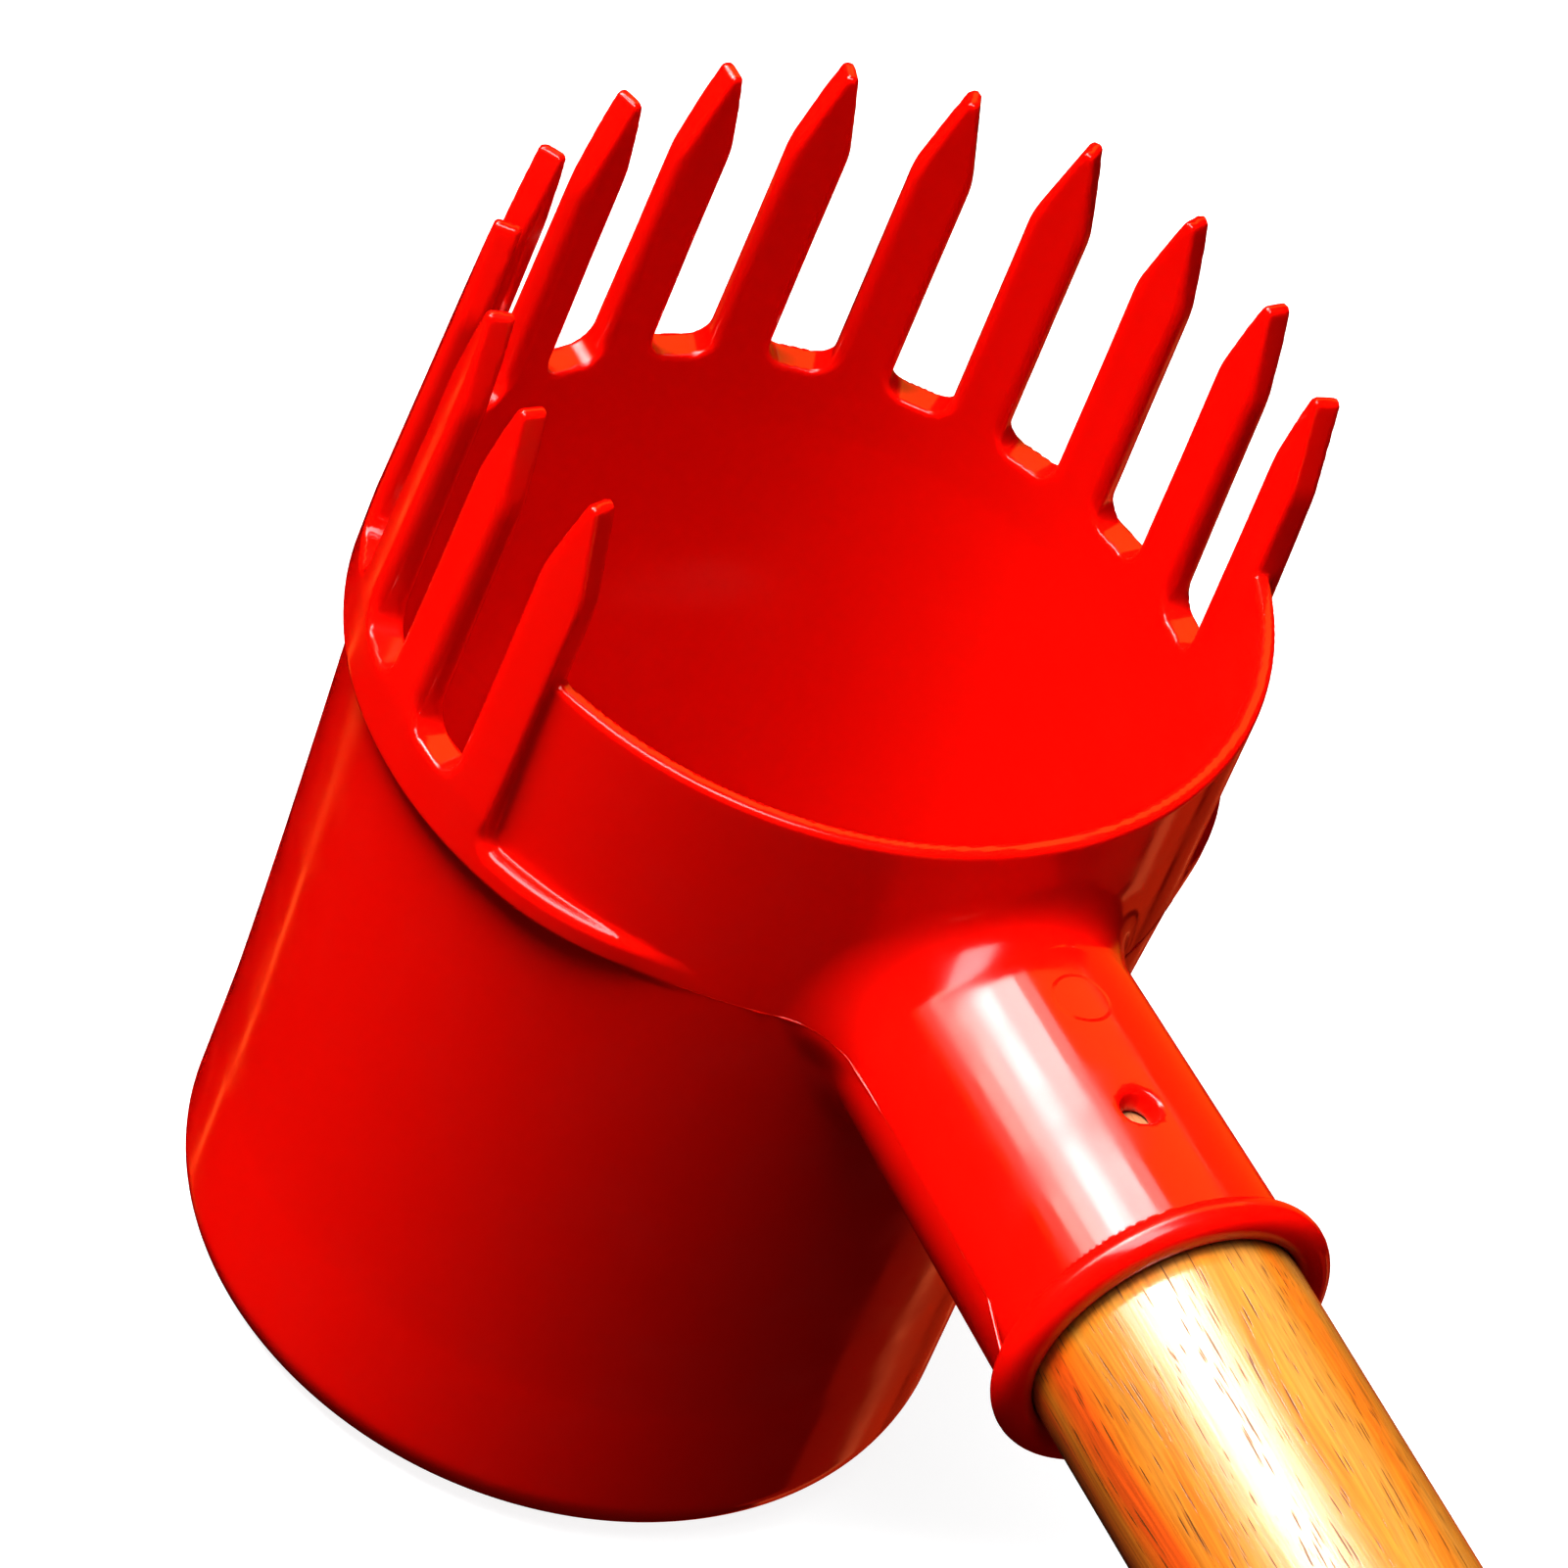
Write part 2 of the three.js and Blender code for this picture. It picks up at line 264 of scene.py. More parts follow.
def socket_field(body, x, y, z, r):
    """The body with the socket grown out of it, and the distance from the socket's axis."""
    s = np.maximum(np.hypot(y, z - AXIS), 1)
    radius = SOCKET_RADIUS - SOCKET_TAPER * (SOCKET_END - x) / (SOCKET_END - BORE_END)
    skin = s - radius
    tube = np.maximum(np.maximum(skin, x - SOCKET_END + COLLAR), MOUTH / 2 - x)
    cosine = np.clip(y * y / (np.maximum(r, 1) * s), 0, 0.9)
    sideways = np.abs(y) / s
    above = TOP_FLARE + (SIDE_FLARE - TOP_FLARE) * sideways ** 2
    below = SIDE_FLARE - (SIDE_FLARE - LOWER_FLARE) * eased(AXIS - z, 0, LOWER_FLARE_DEPTH)
    flared = rolled(body, tube, cosine, np.where(z > AXIS, above, below))
    bead = np.hypot(x - SOCKET_END + COLLAR, s - SOCKET_RADIUS) - COLLAR
    return either(flared, bead, COLLAR_CORNER), s


pole_radii = [float(pole_radius(x)) for x in (SOCKET_END, POLE_START)]
print("the pole's radius at the collar and at its inner end:", pole_radii)

# %% [markdown]
# ### The whole head
# A mould has outer halves and cores, and the field is put together in the same order. Cup,
# wall, socket and crown are joined first. Then the inside, the bore for the pole and the
# screw hole are cut out, each with an edge of its own. The hole narrows a little towards the
# bore, as every hole in a moulding does, so that its pin comes out.

# %% The whole head
RIM_EDGE, BORE_EDGE, HOLE_EDGE = 0.65, 0.2, 0.6
HOLE_DRAFT, HOLE_DEPTH = 0.27, 3  # how much narrower for each mm of depth, and how deep
CROWN_CORNERS = [0.8, 0.5]  # of the hollow between wall and band, at the band's foot and top


def head_field(points):
    """How far each point is outside the head, in mm, and minus that inside the plastic."""
    x, y, z = points.T
    r = np.hypot(x, y)
    turn = np.abs(np.arctan2(y, x))
    back = np.arctan2(y, -x)
    outer = cup_radius(z)
    cup = np.maximum(both(r - outer, -z, BASE_ROUNDING), z - LEDGE_TOP + 1)
    past_last = r * np.sin(turn - LAST_TOOTH)
    wall = np.maximum(both(r - outer, z - RIM_TOP, RIM_EDGE), past_last)
    wall = np.maximum(wall, CUP_HEIGHT - z)
    body, s = socket_field(np.minimum(cup, wall), x, y, z, r)
    crown = crown_field(r, z, turn, back)
    solid = either(body, crown, np.interp(z, [CUP_HEIGHT, LEDGE_TOP], CROWN_CORNERS))
    inner = outer - WALL - LEAN * tooth_share(z) * eased(turn, LAST_TOOTH - 0.1, LAST_TOOTH)
    cavity = both(r - inner, FLOOR - z, BASE_ROUNDING - WALL)
    solid = both(solid, -cavity, tooth_edge(z, turn))
    bore = np.maximum(s - pole_radius(x) - FIT, BORE_END - x)
    solid = both(solid, -bore, BORE_EDGE)
    draft = HOLE_DRAFT * np.clip(AXIS + SOCKET_RADIUS - z, 0, HOLE_DEPTH)
    hole = np.maximum(np.hypot(x - HOLE_X, y) - HOLE_RADIUS + draft, AXIS - z)
    return both(solid, -hole, HOLE_EDGE)


probe = np.array([[0, 0, 50.0], [41.0, 0, 60.0], [0, 43.0, 84.0]])
print("field in the cup's air, in its wall, in the band:", np.round(head_field(probe), 2))

# %% [markdown]
# ### From field to mesh
# A field becomes a mesh with surface nets. Space is cut into small cubes. Each cube that the
# surface crosses gets one corner point, and neighbours are joined into four-sided faces. The
# points are then slid onto the true surface, evened out, and thinned where it is nearly flat.
# The field also gives the exact direction that the surface faces, so the gloss runs smooth.


# %% The field on a grid
def cube_values(field, low, shape, step, block=8):
    """The field on a grid. Blocks far from the surface only get its sign."""
    blocks = -(-np.array(shape) // block)
    starts = low + np.indices(blocks).reshape(3, -1).T * block * step
    local = np.indices((block,) * 3).reshape(3, -1).T * step
    distance = field(starts + (block - 1) / 2 * step)
    half_diagonal = math.sqrt(3) / 2 * block * step
    near = np.abs(distance) < 1.3 * half_diagonal  # some to spare: a field isn't exact
    grid = np.repeat(np.where(distance < 0, -1.0, 1.0)[:, None], block ** 3, axis=1)
    places = starts[near][:, None, :] + local
    grid[near] = field(places.reshape(-1, 3)).reshape(-1, block ** 3)
    grid = grid.reshape(*blocks, block, block, block)
    return grid.transpose(0, 3, 1, 4, 2, 5).reshape(blocks * block)


ball_low = np.full(3, -8.0)
ball = cube_values(lambda points: np.linalg.norm(points, axis=1) - 5, ball_low, [16] * 3, 1.0)
print("a ball of radius 5 holds", int((ball < 0).sum()), "of", ball.size, "grid points")


# %% Surface nets
def surface_net(grid, first, step):
    """Points and four-sided faces of the surface where the grid changes sign."""
    inside = grid < 0
    nx, ny, nz = (n - 1 for n in grid.shape)
    corners = [(i, j, k) for i in (0, 1) for j in (0, 1) for k in (0, 1)]
    count = sum(inside[i:i + nx, j:j + ny, k:k + nz].astype(np.int8) for i, j, k in corners)
    crossed = np.argwhere((count > 0) & (count < 8))
    number = np.full((nx, ny, nz), -1, np.int64)
    number[tuple(crossed.T)] = np.arange(len(crossed))
    total, weight = np.zeros((len(crossed), 3)), np.zeros(len(crossed))
    for a in corners:
        for axis in range(3):
            if a[axis]:
                continue
            b = tuple(v + (n == axis) for n, v in enumerate(a))
            va = grid[tuple((crossed + a).T)]
            vb = grid[tuple((crossed + b).T)]
            cut = (va < 0) != (vb < 0)
            share = np.where(cut, va / np.where(cut, va - vb, 1), 0)
            place = crossed + np.array(a, float)
            place[:, axis] += share
            total += place * cut[:, None]
            weight += cut
    points = first + total / weight[:, None] * step
    faces = []
    for axis in range(3):
        u, v = (axis + 1) % 3, (axis + 2) % 3
        ahead = np.roll(inside, -1, axis)
        edges = np.argwhere(inside != ahead)
        edges = edges[edges[:, axis] < grid.shape[axis] - 1]
        for other in (u, v):
            edges = edges[(edges[:, other] > 0) & (edges[:, other] < grid.shape[other] - 1)]
        ring = []
        for du, dv in ((-1, -1), (0, -1), (0, 0), (-1, 0)):
            cell = edges.copy()
            cell[:, u] += du
            cell[:, v] += dv
            ring.append(number[tuple(cell.T)])
        quads = np.stack(ring, 1)
        outward = inside[tuple(edges.T)]
        quads[~outward] = quads[~outward][:, ::-1]
        faces.append(quads)
    return points, np.concatenate(faces)


print("the ball's net:", len(surface_net(ball, ball_low, 1.0)[0]), "points")


# %% Sliding points onto the surface
def slopes(field, points, width=0.02):
    """The field's direction of steepest rise at each point."""
    rise = [
        field(points + width * axis) - field(points - width * axis)
        for axis in np.eye(3)
    ]
    return np.stack(rise, 1) / (2 * width)


def onto_surface(field, points, rounds=3):
    """The points moved up or down the field's slope, until the field is nearly 0 there."""
    for _ in range(rounds):
        slope = slopes(field, points)
        size = np.maximum((slope ** 2).sum(1), 0.25)
        move = (field(points) / size)[:, None] * slope
        points = points - np.clip(move, -0.5, 0.5)
    return points


def evened(points, faces, share=0.5):
    """Each point moved towards the middle of its neighbours."""
    ends = np.concatenate([faces, np.roll(faces, -1, 1)], 0)
    starts = np.concatenate([np.roll(faces, -1, 1), faces], 0)
    ends, starts = ends.ravel(), starts.ravel()
    number = np.bincount(ends, minlength=len(points))
    middle = np.stack([
        np.bincount(ends, points[starts, axis], len(points)) / number for axis in range(3)
    ], 1)
    return points + share * (middle - points)


slid = onto_surface(head_field, np.array([[0, 50.0, 60.0]]), 60)
print("a point 8 mm outside the cup slides to", np.round(slid[0], 2))

# %% The head's net
STEP = 0.5
low_corner = np.array([-46.0, -46.0, -1.5])
high_corner = np.array([85.0, 46.0, 128.5])
cubes = np.ceil((high_corner - low_corner) / STEP).astype(int)
grid = cube_values(head_field, low_corner, cubes, STEP)
net_points, net_faces = surface_net(grid, low_corner, STEP)
net_points = onto_surface(head_field, net_points)
for _ in range(3):
    net_points = onto_surface(head_field, evened(net_points, net_faces), 1)
net_points = onto_surface(head_field, net_points, 2)
print("net:", len(net_points), "points,", len(net_faces), "faces")


# %% Helpers for meshes
def mesh_object(name, points, faces, material):
    """A smooth-shaded object from points in millimetres."""
    mesh = bpy.data.meshes.new(name)
    corners = faces.tolist() if isinstance(faces, np.ndarray) else faces
    mesh.from_pydata((np.asarray(points) * MM).tolist(), [], corners)
    mesh.materials.append(material)
    mesh.shade_smooth()
    made = bpy.data.objects.new(name, mesh)
    bpy.context.scene.collection.objects.link(made)
    return made


def thinned(name, points, faces, share):
    """The mesh with fewer faces, most of them taken from where it is flat."""
    rough = mesh_object(name + "_dense", points, faces, None)
    thin = rough.modifiers.new("thin", "DECIMATE")
    thin.ratio = share
    shape = rough.evaluated_get(bpy.context.evaluated_depsgraph_get()).to_mesh()
    places = np.empty(len(shape.vertices) * 3)
    shape.vertices.foreach_get("co", places)
    corners = [tuple(face.vertices) for face in shape.polygons]
    bpy.data.objects.remove(rough)
    return places.reshape(-1, 3) / MM, corners


# %% [markdown]
# ## Red plastic
# Moulded gloss polypropylene, coloured right through. Red light goes a millimetre or two into
# it, which softens the shade at every edge. A polished mould gives it a wet shine, with a
# faint waviness where the plastic shrank as it cooled, and handling leaves slightly duller
# patches. The pin that pushed the moulding out has left a shallow ring on top of the socket.
# Waves and ring could be modelled, but they are less than 0.1 mm deep, so bump is enough.

# %% Red plastic
red_plastic, tree, shader = new_material("gloss_polypropylene_red")
shader.inputs["Base Color"].default_value = linear("c20501")
shader.inputs["IOR"].default_value = 1.49
shader.inputs["Subsurface Weight"].default_value = 0.8
shader.inputs["Subsurface Radius"].default_value = (1.0, 0.12, 0.08)
light_depth = 1.7  # how far red light goes in; green and blue light go less far
shader.inputs["Subsurface Scale"].default_value = light_depth * MM
place = add_node(tree, "ShaderNodeTexCoord").outputs["Object"]
print("red light goes", light_depth, "mm into the plastic")

# %% Red plastic: patches and waves
# Duller patches about 7 mm across.
patches = add_node(tree, "ShaderNodeTexNoise", None, Vector=place, Scale=1 / (7 * MM), Detail=5.0)
dullness = add_node(
    tree, "ShaderNodeMapRange", None,
    Value=patches.outputs[0], From_Min=0.42, From_Max=0.7, To_Min=0.1, To_Max=0.24,
)
tree.links.new(dullness.outputs[0], shader.inputs["Roughness"])

# Waves about 11 mm long.
waves = add_node(tree, "ShaderNodeTexNoise", None, Vector=place, Scale=1 / (11 * MM), Detail=2.0)
wave_bump = add_node(
    tree, "ShaderNodeBump", None, Strength=0.4, Distance=0.07 * MM, Height=waves.outputs[0],
)
print("plastic with patches and waves:", len(tree.nodes), "nodes")

# %% Red plastic: the pin's ring
# The ring is 5.8 mm across. Inside it the surface lies a little lower.
pin_away = add_node(
    tree, "ShaderNodeVectorMath", {"operation": "DISTANCE"},
    in_0=place, in_1=(53 * MM, 0.9 * MM, (AXIS + SOCKET_RADIUS - 0.5) * MM),
)
pin_step = add_node(
    tree, "ShaderNodeMapRange", None,
    Value=pin_away.outputs["Value"], From_Min=2.7 * MM, From_Max=3.1 * MM, To_Min=0.0, To_Max=1.0,
)
pin_bump = add_node(
    tree, "ShaderNodeBump", None, Strength=0.6, Distance=0.1 * MM,
    Height=pin_step.outputs[0], Normal=wave_bump.outputs["Normal"],
)
tree.links.new(pin_bump.outputs["Normal"], shader.inputs["Normal"])
print("plastic:", len(tree.nodes), "nodes")

# %% The head
KEPT_FACES = 0.3
net_points, net_faces = thinned("head", net_points, net_faces, KEPT_FACES)
net_points = onto_surface(head_field, net_points, 2)
head = mesh_object("picker_head", net_points, net_faces, red_plastic)
facing = slopes(head_field, net_points)
facing /= np.linalg.norm(facing, axis=1)[:, None]
head.data.normals_split_custom_set_from_vertices(facing.tolist())
print("head:", len(head.data.polygons), "faces")

head_nodes = [name for name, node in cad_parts.items() if name != "pole"]
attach(head, "head")
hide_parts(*head_nodes)

# %% [markdown]
# ### Flash line
# Where the two halves of the mould met, a thin ragged fin of plastic is left. It runs from
# each end of the band, through the flare and along the side of the socket. The field's step
# is too coarse for a fin this thin, so it is its own ribbon. Its path is found by looking
# outwards from inside the socket for the last point that is still plastic.

# %% The flash line's path
dice = np.random.default_rng(7)
on_flare, on_tube = np.linspace(-86, -40, 90), np.linspace(-39.4, -18.6, 60)
turns = np.radians(np.concatenate([on_flare, on_tube]))
ways = np.stack([np.cos(turns), np.sin(turns), 0 * turns], 1)
reach = np.linspace(12, 58, 1151)
line_start = np.array([30.0, 0, AXIS])
on_ways = line_start + reach[None, :, None] * ways[:, None, :]
plastic = head_field(on_ways.reshape(-1, 3)).reshape(len(turns), -1) < 0
last_inside = len(reach) - 1 - plastic[:, ::-1].argmax(1)
path = line_start + reach[last_inside][:, None] * ways
outward = slopes(head_field, path)
outward[:, 2] = 0
outward /= np.linalg.norm(outward, axis=1)[:, None]
print("flash line from x", round(path[0, 0], 1), "to", round(path[-1, 0], 1), "mm")

# %% The flash line
# It stands out by 0.05 to 0.3 mm round the flare, and is worn down on the tube. The ribbon
# is widest at its root, which lies inside the plastic.
ragged = np.interp(np.arange(len(path)), np.linspace(0, len(path) - 1, 30), dice.random(30) ** 2)
grown = eased(turns, math.radians(-86), math.radians(-64))
worn = eased(turns, math.radians(-41), math.radians(-34))
proud = 0.05 + 0.25 * ragged * grown * (1 - worn) - 0.02 * worn
root, half_root, half_edge = -0.25, 0.16, 0.03

flash_points, flash_faces = [], []
for side in (1, -1):
    first = len(flash_points)
    for point, way, height in zip(path, outward, proud):
        section = ((root, -half_root), (height, -half_edge), (height, half_edge), (root, half_root))
        for out, lift in section:
            x, y, z = point + out * way
            flash_points.append((x, side * y, z + lift))
    for i in range(len(path) - 1):
        for j in range(4):
            a, b = first + 4 * i + j, first + 4 * i + (j + 1) % 4
            face = (a, a + 4, b + 4, b)
            flash_faces.append(face if side < 0 else face[::-1])
flash = mesh_object("mould_flash", flash_points, flash_faces, red_plastic)
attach(flash, "head")
print("flash line:", len(flash.data.polygons), "faces")

# %% [markdown]
# ## Pole
# A broomstick turned from hardwood. Its colour varies in bands a few millimetres wide, and
# painted light makes it more golden on top and redder at the sides. Fine fibres run along it,
# and so do its open pores: dark slits 1 to 7 mm long and 0.2 mm wide. The varnish fills them
# only partly, so the shine breaks up over them. The tapered seat inside the socket was cut
# after varnishing and is bare.
# A picture of wood wrapped round the pole would smear at its ends. Noise that is stretched
# along the grain runs right through it instead, so the figure also fits at the cut ends.

# %% Varnished wood: how the grain wanders
varnished_wood, tree, shader = new_material("varnished_hardwood")
place = add_node(tree, "ShaderNodeTexCoord").outputs["Object"]


def figure(length, width):
    """The texture scale of a figure this long and this wide in the wood, in millimetres."""
    return (1 / (length * MM), 1 / (width * MM), 1 / (width * MM))


# The grain wanders sideways by a millimetre or so as it runs along.
drift_place = add_node(tree, "ShaderNodeMapping", None, Vector=place, Scale=figure(45, 9))
drift = add_node(
    tree, "ShaderNodeTexNoise", None, Vector=drift_place.outputs[0], Scale=1.0, Detail=1.0,
)
grain = add_node(
    tree, "ShaderNodeVectorMath", {"operation": "MULTIPLY_ADD"},
    in_0=drift.outputs["Color"], in_1=(0, 4 * MM, 4 * MM), in_2=place,
).outputs[0]
print("a figure 12 mm long and 0.3 mm wide has the scale", [round(v) for v in figure(12, 0.3)])

# %% Varnished wood: bands of colour, and painted light on top
band_place = add_node(tree, "ShaderNodeMapping", None, Vector=grain, Scale=figure(80, 4.5))
bands = add_node(
    tree, "ShaderNodeTexNoise", None, Vector=band_place.outputs[0], Scale=1.0, Detail=3.0,
)
height = add_node(tree, "ShaderNodeSeparateXYZ", None, Vector=place)
# Painted light: the tone is shifted towards golden on top of the pole, and towards red at its sides
# and underside.
painted_top_light = add_node(
    tree, "ShaderNodeMapRange", None,
    Value=height.outputs["Z"], From_Min=(AXIS - 4) * MM, From_Max=(AXIS + 13) * MM,
    To_Min=-0.14, To_Max=0.12,
)
band_tone_and_painted_light = add_node(
    tree, "ShaderNodeMath", {"operation": "ADD"}, in_0=bands.outputs[0], in_1=painted_top_light.outputs[0],
)
tones = add_node(tree, "ShaderNodeValToRGB", None, Fac=band_tone_and_painted_light.outputs[0])
tones.color_ramp.elements[0].position = 0.28
tones.color_ramp.elements[0].color = linear("b03c04")
tones.color_ramp.elements[1].position = 0.74
tones.color_ramp.elements[1].color = linear("986122")
for position, hex_colour in ((0.42, "b24e06"), (0.54, "a2560c"), (0.64, "965c18")):
    tones.color_ramp.elements.new(position).color = linear(hex_colour)
print("tones of the bands:", len(tones.color_ramp.elements))

# %% Varnished wood: fibres
# Real fibres are a few hundredths of a millimetre wide, which is too fine to show. They are
# drawn 0.3 mm wide, as if in bundles.
fibre_place = add_node(tree, "ShaderNodeMapping", None, Vector=grain, Scale=figure(12, 0.3))
fibres = add_node(
    tree, "ShaderNodeTexNoise", None, Vector=fibre_place.outputs[0], Scale=1.0, Detail=3.0,
)
fibre_tone = add_node(
    tree, "ShaderNodeMapRange", None,
    Value=fibres.outputs[0], From_Min=0.3, From_Max=0.7, To_Min=0.7, To_Max=1.2,
)
streaked = add_node(
    tree, "ShaderNodeVectorMath", {"operation": "SCALE"},
    Vector=tones.outputs["Color"], Scale=fibre_tone.outputs[0],
)
print("wood with fibres:", len(tree.nodes), "nodes")

# %% Varnished wood: pores
# Long and short pores. The cells give every pore a length of its own.
long_place = add_node(tree, "ShaderNodeMapping", None, Vector=grain, Scale=figure(12, 0.36))
long_cells = add_node(tree, "ShaderNodeTexVoronoi", None, Vector=long_place.outputs[0], Scale=1.0)
long_size = add_node(
    tree, "ShaderNodeMapRange", None,
    Value=long_cells.outputs["Color"], From_Min=0.2, From_Max=0.7, To_Min=0.06, To_Max=0.28,
)
long_depth = add_node(
    tree, "ShaderNodeMath", {"operation": "SUBTRACT"},
    in_0=long_size.outputs[0], in_1=long_cells.outputs["Distance"],
)
short_place = add_node(tree, "ShaderNodeMapping", None, Vector=grain, Scale=figure(6, 0.29))
short_cells = add_node(tree, "ShaderNodeTexVoronoi", None, Vector=short_place.outputs[0], Scale=1.0)
short_size = add_node(
    tree, "ShaderNodeMapRange", None,
    Value=short_cells.outputs["Color"], From_Min=0.2, From_Max=0.7, To_Min=0.0, To_Max=0.28,
)
short_depth = add_node(
    tree, "ShaderNodeMath", {"operation": "SUBTRACT"},
    in_0=short_size.outputs[0], in_1=short_cells.outputs["Distance"],
)
pore_depth = add_node(
    tree, "ShaderNodeMath", {"operation": "MAXIMUM"},
    in_0=long_depth.outputs[0], in_1=short_depth.outputs[0],
)
pores = add_node(
    tree, "ShaderNodeMapRange", None,
    Value=pore_depth.outputs[0], From_Min=0.0, From_Max=0.1, To_Min=0.0, To_Max=1.0,
)
wood_colour = add_node(
    tree, "ShaderNodeMix", {"data_type": "RGBA"},
    in_0=pores.outputs[0], in_6=streaked.outputs[0], in_7=linear("4a2406"),
)
print("wood with pores:", len(tree.nodes), "nodes")

# %% Varnished wood: the bare seat and the varnish
# Bare wood on the seat, and varnish from the collar outwards.
varnished = add_node(
    tree, "ShaderNodeMath", {"operation": "GREATER_THAN"},
    in_0=height.outputs["X"], in_1=(SOCKET_END - 1.5) * MM,
)
bare = add_node(
    tree, "ShaderNodeVectorMath", {"operation": "SCALE"},
    Vector=linear("8f5a38")[:3], Scale=fibre_tone.outputs[0],
)
surface_colour = add_node(
    tree, "ShaderNodeMix", {"data_type": "RGBA"},
    in_0=varnished.outputs[0], in_6=bare.outputs[0], in_7=wood_colour.outputs[2],
)
tree.links.new(surface_colour.outputs[2], shader.inputs["Base Color"])
unfilled = add_node(
    tree, "ShaderNodeMath", {"operation": "SUBTRACT", "use_clamp": True},
    in_0=varnished.outputs[0], in_1=pores.outputs[0],
)
tree.links.new(unfilled.outputs[0], shader.inputs["Coat Weight"])
shader.inputs["Roughness"].default_value = 0.45
shader.inputs["Coat IOR"].default_value = 1.6
sheen = add_node(
    tree, "ShaderNodeMapRange", None,
    Value=fibres.outputs[0], From_Min=0.3, From_Max=0.7, To_Min=0.1, To_Max=0.2,
)
tree.links.new(sheen.outputs[0], shader.inputs["Coat Roughness"])
grain_height = add_node(
    tree, "ShaderNodeMath", {"operation": "MULTIPLY_ADD"},
    in_0=pores.outputs[0], in_1=-1.0, in_2=fibres.outputs[0],
)
grain_bump = add_node(
    tree, "ShaderNodeBump", None, Strength=0.5, Distance=0.05 * MM, Height=grain_height.outputs[0],
)
tree.links.new(grain_bump.outputs["Normal"], shader.inputs["Coat Normal"])
print("wood:", len(tree.nodes), "nodes")


# %% The pole
def turned(name, outline, steps, material):
    """A solid turned about the pole's axis. The outline is a list of (x, radius)."""
    points, faces = [], []
    angles = [2 * math.pi * i / steps for i in range(steps)]
    for x, radius in outline:
        points += [(x, radius * math.cos(a), AXIS + radius * math.sin(a)) for a in angles]
    for j in range(len(outline) - 1):
        for i in range(steps):
            here, there = j * steps, (j + 1) * steps
            after = (i + 1) % steps
            faces.append((here + i, there + i, there + after, here + after))
    faces.append(tuple(range(steps)))
    faces.append(tuple((len(outline) - 1) * steps + i for i in reversed(range(steps))))
    return mesh_object(name, points, faces, material)


bevel, rounding = 1.5, 3.0
rise = 0.1  # of the taper over the bevel
end_arc = [
    (POLE_END - rounding + rounding * math.sin(a), POLE_RADIUS - rounding + rounding * math.cos(a))
    for a in np.linspace(0, math.pi / 2, 9)
]
outline = [
    (POLE_START, POLE_RADIUS - POLE_TAPER - bevel),
    (POLE_START + bevel, POLE_RADIUS - POLE_TAPER + rise),
    (SOCKET_END, POLE_RADIUS),
] + [(x, POLE_RADIUS) for x in np.linspace(SOCKET_END + 10, POLE_END - 10, 30)] + end_arc
pole = turned("wooden_pole", outline, steps=144, material=varnished_wood)
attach(pole, "pole")
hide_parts("pole")
print("pole:", len(pole.data.polygons), "faces")

# %% [markdown]
# ## Floor and lights
# A studio's ground can be a white sheet under strong lamps, but its white then depends on
# every lamp. Here the ground glows by itself, and is even. Two soft lamps from above and one
# from behind give the shade, so the cup's near side goes dark. A gloss shows the lamps
# themselves, and a curved gloss shows all of a studio at once. So only the lamp on top, which
# shines on the ledge, is left in the gloss, and the gloss gets lights of its own: a fan of
# white bands for the long streak on the socket and the pole, and weak orange and red cards at
# the sides.

# %% Floor
floor_material, tree, shader = new_material("pale_floor")
shader.inputs["Base Color"].default_value = linear("a0a0a0")
shader.inputs["Roughness"].default_value = 0.9
shader.inputs["Specular IOR Level"].default_value = 0.0
shader.inputs["Emission Color"].default_value = linear("ffffff")
shader.inputs["Emission Strength"].default_value = 0.88
floor_mesh = bpy.data.meshes.new("floor")
ground_level = -0.3 * MM  # just clear of the cup's underside
far = 20.0
floor_corners = [
    (-far, -far, ground_level), (far, -far, ground_level),
    (far, far, ground_level), (-far, far, ground_level),
]
floor_mesh.from_pydata(floor_corners, [], [(0, 1, 2, 3)])
floor_mesh.materials.append(floor_material)
floor = bpy.data.objects.new("floor", floor_mesh)
bpy.context.scene.collection.objects.link(floor)
floor.visible_diffuse = False
floor.visible_glossy = False
floor.visible_shadow = False
print("floor:", 2 * far, "m wide")


# %% Lights for the shade
AIM = Vector((0.03, 0, 0.09))  # the point of the rake that the lamps face


def softbox(name, direction, size, watts, colour="ffffff", along=(0, 0, 1), away=2.0):
    """A rectangle of light in a direction from the rake, metres away from it.

    Its sides are size, and the second of them lies along a given direction."""
    lamp = bpy.data.lights.new(name, "AREA")
    lamp.shape = "RECTANGLE"
    lamp.size, lamp.size_y = size
    lamp.energy = watts
    lamp.color = linear(colour)[:3]
    made = bpy.data.objects.new(name, lamp)
    bpy.context.scene.collection.objects.link(made)
    back = Vector(direction).normalized()
    side = Vector(along).cross(back).normalized()
    turn = Matrix((side, back.cross(side), back)).transposed().to_4x4()
    made.matrix_world = Matrix.Translation(AIM + away * back) @ turn
    return made


main = softbox("main", (-0.60, -1.10, 2.5), (0.9, 0.9), 152)
back_light = softbox("back_light", (-0.6, 0.6, -0.1), (1.2, 0.8), 12)
for lamp in (main, back_light):
    lamp.visible_glossy = False
softbox("top_light", (-0.08, -0.35, 0.93), (1.0, 2.1), 58, along=(0.94, 0.34, 0))
print("main light:", main.data.energy, "W")

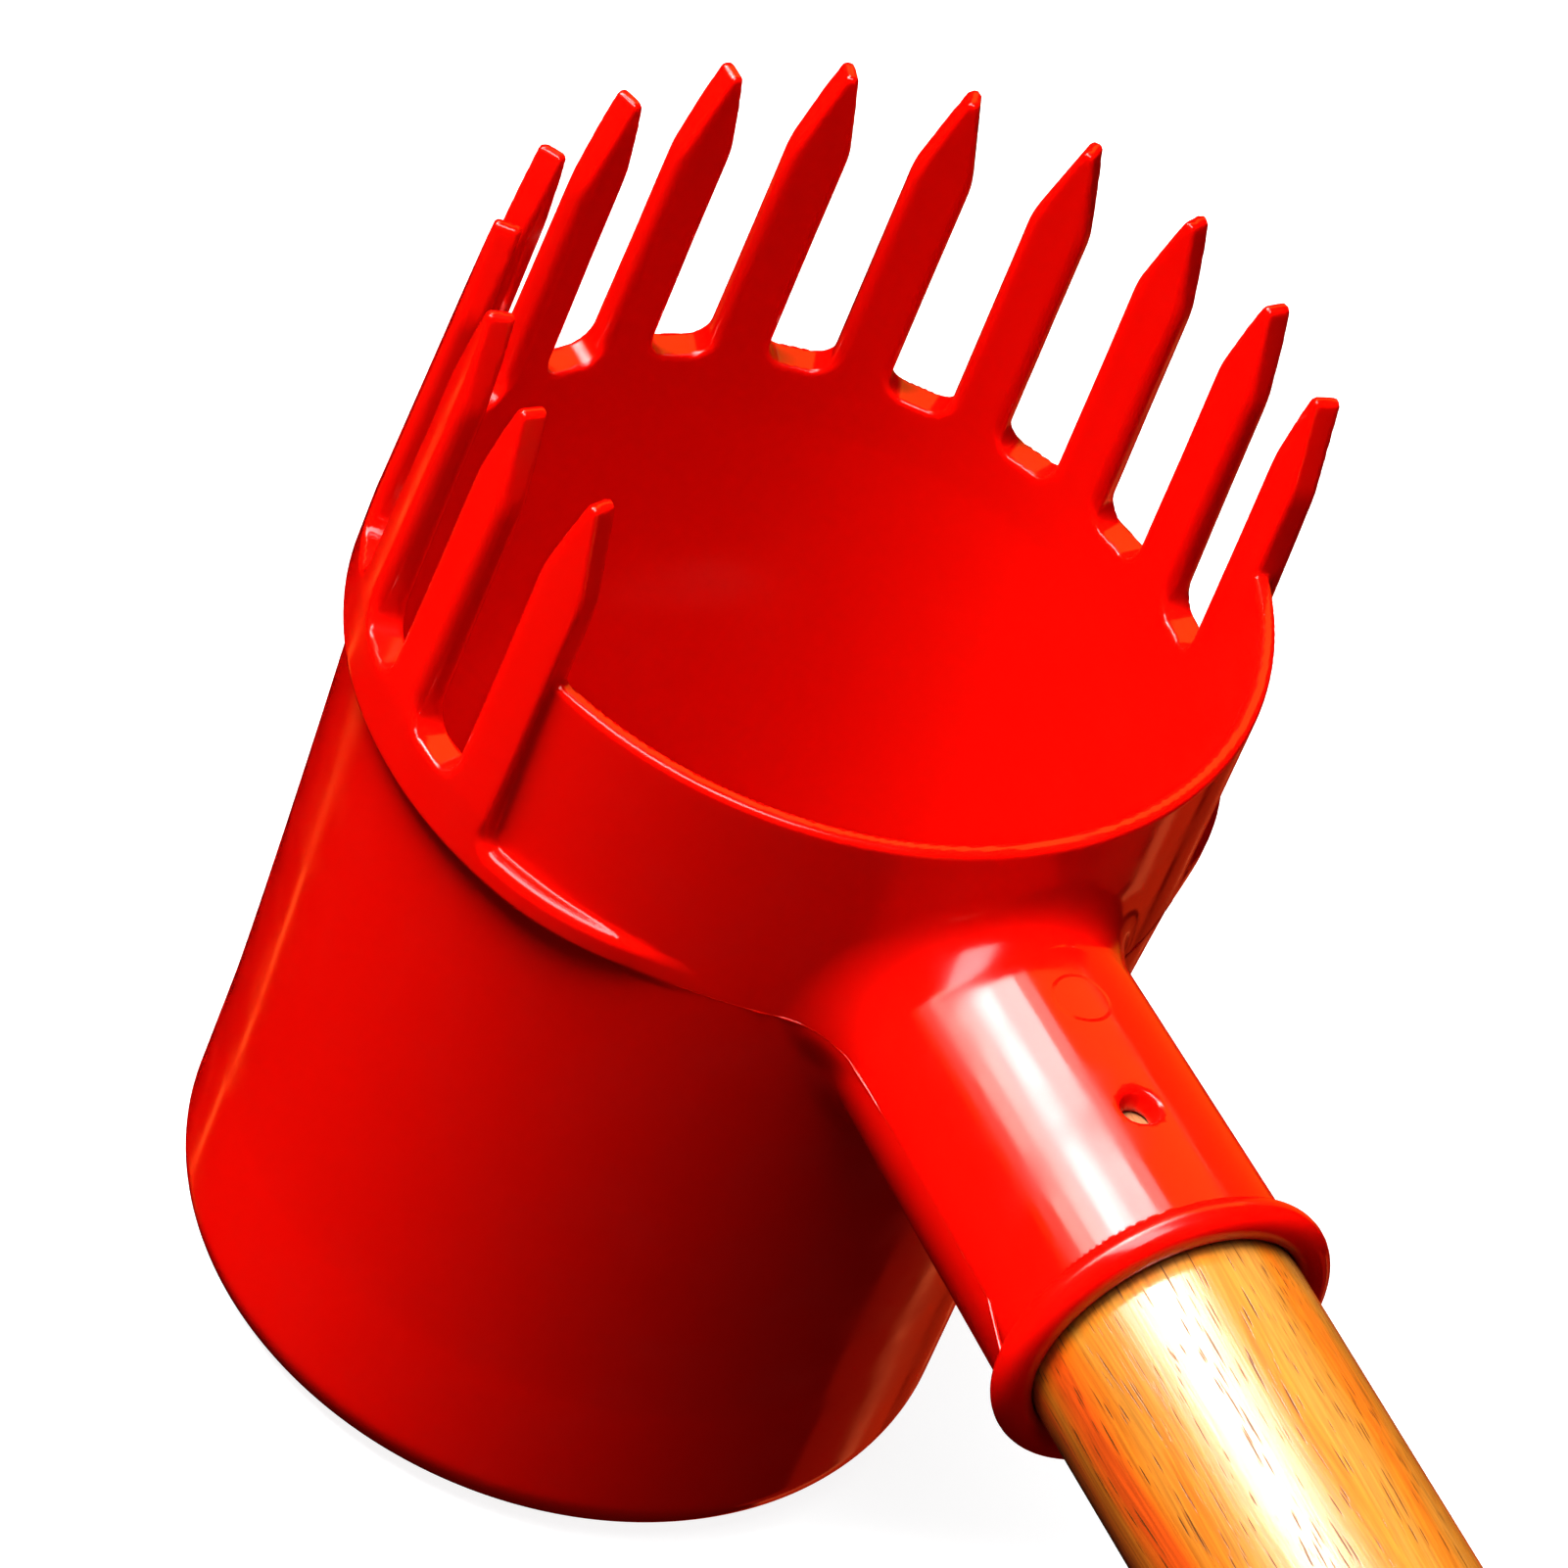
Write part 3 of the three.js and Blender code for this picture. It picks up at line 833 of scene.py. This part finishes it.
# %% Lights for the gloss
# Name, direction, sides in metres, watts, colour, direction of the second side, distance.
card_list = [
    ("warm_card", (-0.64, 0, 0.77), (0.9, 4.8), 21, "ffc040", (0, 1, 0), 2.2),
    ("warm_side", (-0.54, 0.82, 0.0), (0.8, 2.0), 3, "ff9020"),
    ("warm_left", (-0.536, -0.69, 0.48), (0.45, 1.2), 2.0, "ffa030", (0, 0.57, 0.82), 2.1),
    ("edge_card", (-0.536, 0.73, 0.42), (0.6, 0.06), 0.25, "ffb080", (0, -0.5, 0.87), 1.9),
    ("right_card_1", (0.24, 0.70, -0.68), (0.45, 1.1), 1.0, "ff2a10"),
    ("right_card_2", (-0.03, 0.72, -0.70), (0.50, 1.1), 1.6, "ff3a14"),
    ("right_card_3", (-0.33, 0.64, -0.70), (0.60, 1.1), 1.0, "ff3a14"),
    ("right_line_1", (0.05, 0.71, -0.70), (0.14, 1.0), 0.25, "ff8a50", (0, 0, 1), 1.9),
    ("right_line_2", (-0.36, 0.62, -0.70), (0.04, 0.8), 0.05, "ff8a50", (0, 0, 1), 1.9),
    ("left_card", (-0.70, -0.08, -0.71), (0.05, 0.5), 0.22, "ff6a28"),
]
cards = [softbox(*card) for card in card_list]

# The streak's softbox is a fan of bands side by side, brightest in the middle. Each has its
# angle from straight up in degrees, its width in metres and its brightness.
bands_of_streak = [
    (62.5, 0.30, 1.1), (51.7, 0.34, 7.6), (39.1, 0.39, 14), (26.2, 0.37, 20), (7.9, 0.71, 15.5),
    (-9.2, 0.30, 4),
]
band_length = 0.45
behind, beside = -0.536, 0.844  # the fan's direction, along the pole and square to it
for angle, width, brightness in bands_of_streak:
    lean = math.radians(angle)
    direction = (behind, -beside * math.sin(lean), beside * math.cos(lean))
    watts = brightness * math.pi * band_length * width
    along = (0, math.cos(lean), math.sin(lean))
    cards.append(softbox("streak_band", direction, (band_length, width), watts, along=along))
for lamp in cards:
    lamp.visible_diffuse = False
print("lights that only the gloss sees:", len(cards))

# %% World
world = bpy.data.worlds.new("studio")
bpy.context.scene.world = world
world.use_nodes = True
background = world.node_tree.nodes["Background"]
background.inputs["Color"].default_value = linear("ffffff")
background.inputs["Strength"].default_value = 0.15
world.cycles_visibility.glossy = False
bpy.context.scene.view_settings.view_transform = "Standard"
print("world's strength:", round(background.inputs["Strength"].default_value, 2))
